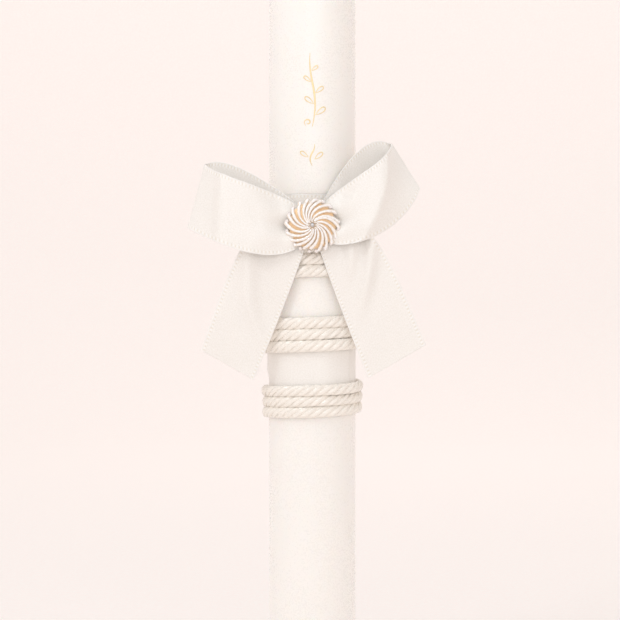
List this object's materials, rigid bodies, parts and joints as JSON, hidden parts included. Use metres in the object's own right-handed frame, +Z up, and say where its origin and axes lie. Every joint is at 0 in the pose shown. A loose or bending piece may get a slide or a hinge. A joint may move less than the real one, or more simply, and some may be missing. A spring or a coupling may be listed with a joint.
{
  "type": "unity candle",
  "caption": "Tall ivory pillar candle dressed with satin ribbon bands, wound twisted cords, a satin bow and a pearl rosette.",
  "frame": {"origin": "centre of the candle's flat foot", "axes": "+Z up along the candle to the wick, the bow and the rosette face -Y, +X to the right as seen from the bow's side"},
  "size_m": [0.1069, 0.0549, 0.4119],
  "materials": {
    "cast_wax": "soft ivory wax, translucent",
    "dipped_wax": "smooth dipped ivory wax with a soft silk gloss",
    "wick_cotton": "braided, lightly waxed cotton",
    "gold_foil": "thin gold transfer foil, slightly broken",
    "satin_ribbon": "double-face satin with stitched edges",
    "band_tape": "double-sided tape",
    "twisted_cord": "soft twisted viscose cord with a silky sheen",
    "clear_glue": "clear hot-melt glue",
    "tie_thread": "fine sewing thread",
    "rosette_disc": "moulded disc with a champagne-gold lacquer",
    "bead_strand": "pearl lustre seed beads",
    "rim_pearl": "pearl lustre",
    "silver_bead": "small polished silver bead"
  },
  "bodies": {
    "root": {"wax_core": "cast_wax", "wax_coat": "dipped_wax", "wick": "wick_cotton", "gold_sprigs": "gold_foil", "lower_ribbon_band": "satin_ribbon", "upper_ribbon_band": "satin_ribbon", "lower_band_tape": "band_tape", "upper_band_tape": "band_tape", "lower_cord_wrap": "twisted_cord", "middle_cord_wrap": "twisted_cord", "upper_cord_wrap": "twisted_cord", "cord_end_glue": "clear_glue", "bow_glue_pad": "clear_glue", "bow_tails": "satin_ribbon", "bow_loops": "satin_ribbon", "bow_tie_thread": "tie_thread", "rosette_glue": "clear_glue", "rosette_disc": "rosette_disc", "rosette_strands": "bead_strand", "rosette_rim_pearls": "rim_pearl", "rosette_centre_bead": "silver_bead"}
  },
  "joints": []
}
